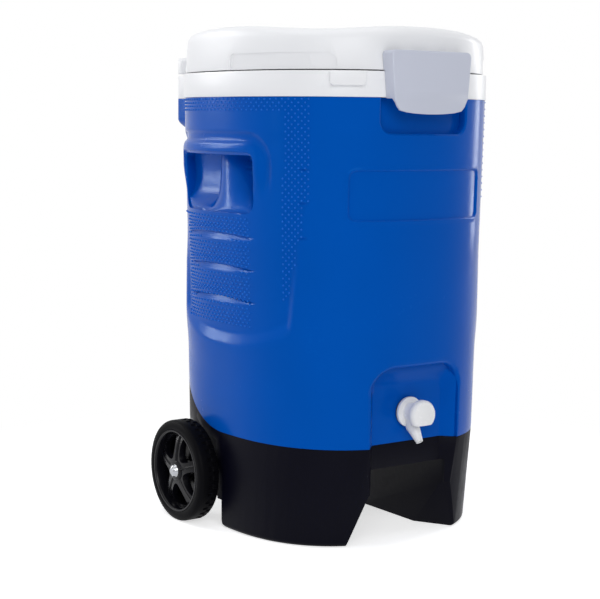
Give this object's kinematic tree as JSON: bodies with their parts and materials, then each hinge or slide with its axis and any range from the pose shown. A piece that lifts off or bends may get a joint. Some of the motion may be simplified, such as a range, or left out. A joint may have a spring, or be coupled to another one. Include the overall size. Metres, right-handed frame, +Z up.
{
  "type": "wheeled insulated drink cooler",
  "caption": "Upright insulated drink cooler with a hinged latched lid, side grip pockets, a push-button tap in an alcove, a legged base on wheels and a pull-up tow handle.",
  "frame": {"origin": "on the floor under the drum's axis, which is the middle of the cooler's width and depth", "axes": "+Z up, -Y towards the tap and the latch, +X to the right seen from the front"},
  "size_m": [0.3926, 0.396, 0.606],
  "materials": {
    "drum_blue": "satin moulded polyethylene, dotted texture on the grips",
    "lid_white": "satin",
    "liner_white": "smooth, food safe",
    "latch_grey": "satin",
    "base_black": "satin",
    "wheel_black": "satin",
    "tyre_black": "matt, ribbed tread",
    "tap_white": "smooth",
    "seal_rubber": "matt",
    "tube_steel": "drawn tube",
    "pin_steel": "plain",
    "cap_chrome": "bright",
    "guide_black": "smooth",
    "foam_cream": "rigid closed-cell foam"
  },
  "bodies": {
    "body": {"outer_shell": "drum_blue", "foam_core": "foam_cream", "tank_liner": "liner_white", "collar": "lid_white", "base": "base_black", "base_screws": "pin_steel", "hinge_pin_left": "pin_steel", "hinge_pin_right": "pin_steel", "guide_tube_left": "tube_steel", "guide_tube_right": "tube_steel", "handle_bush_left": "guide_black", "handle_bush_right": "guide_black", "axle": "pin_steel", "axle_cap_left": "cap_chrome", "axle_cap_right": "cap_chrome", "axle_washers": "pin_steel", "spigot_body": "tap_white", "spigot_outer_seal": "seal_rubber", "spigot_inner_seal": "seal_rubber", "spigot_nut": "tap_white", "spigot_spring": "pin_steel"},
    "lid": {"lid_top": "lid_white", "lid_underside": "liner_white", "lid_foam": "foam_cream", "lid_gasket": "seal_rubber", "latch_pin": "pin_steel"},
    "latch": {"latch": "latch_grey"},
    "wheel_left": {"rim_left": "wheel_black", "tyre_left": "tyre_black"},
    "wheel_right": {"rim_right": "wheel_black", "tyre_right": "tyre_black"},
    "tow_handle": {"handle_tube_left": "tube_steel", "handle_tube_right": "tube_steel", "glide_left": "guide_black", "glide_right": "guide_black", "handle_grip": "lid_white", "grip_screws": "pin_steel"},
    "tap_button": {"spigot_button": "tap_white", "spigot_stem": "pin_steel", "spigot_valve": "seal_rubber"}
  },
  "joints": [
    {"name": "lid_hinge", "type": "hinge", "parent": "body", "child": "lid", "pos_m": [0, 0.158, 0.585], "axis": [-1, 0, 0], "range_deg": [0, 90]},
    {"name": "latch_pivot", "type": "hinge", "parent": "lid", "child": "latch", "pos_m": [0, -0.1915, 0.568], "axis": [-1, 0, 0], "range_deg": [0, 75]},
    {"name": "wheel_left_spin", "type": "hinge", "parent": "body", "child": "wheel_left", "pos_m": [-0.1775, 0.061, 0.063], "axis": [1, 0, 0], "continuous": true},
    {"name": "wheel_right_spin", "type": "hinge", "parent": "body", "child": "wheel_right", "pos_m": [0.1775, 0.061, 0.063], "axis": [1, 0, 0], "continuous": true},
    {"name": "tow_handle_slide", "type": "slide", "parent": "body", "child": "tow_handle", "axis": [0, 0, 1], "range_m": [0, 0.38]},
    {"name": "tap_push", "type": "slide", "parent": "body", "child": "tap_button", "axis": [0, 1, 0], "range_m": [0, 0.005], "stiffness_N_per_m": 600, "springref_m": -0.004, "deforming": ["spigot_spring"]}
  ]
}
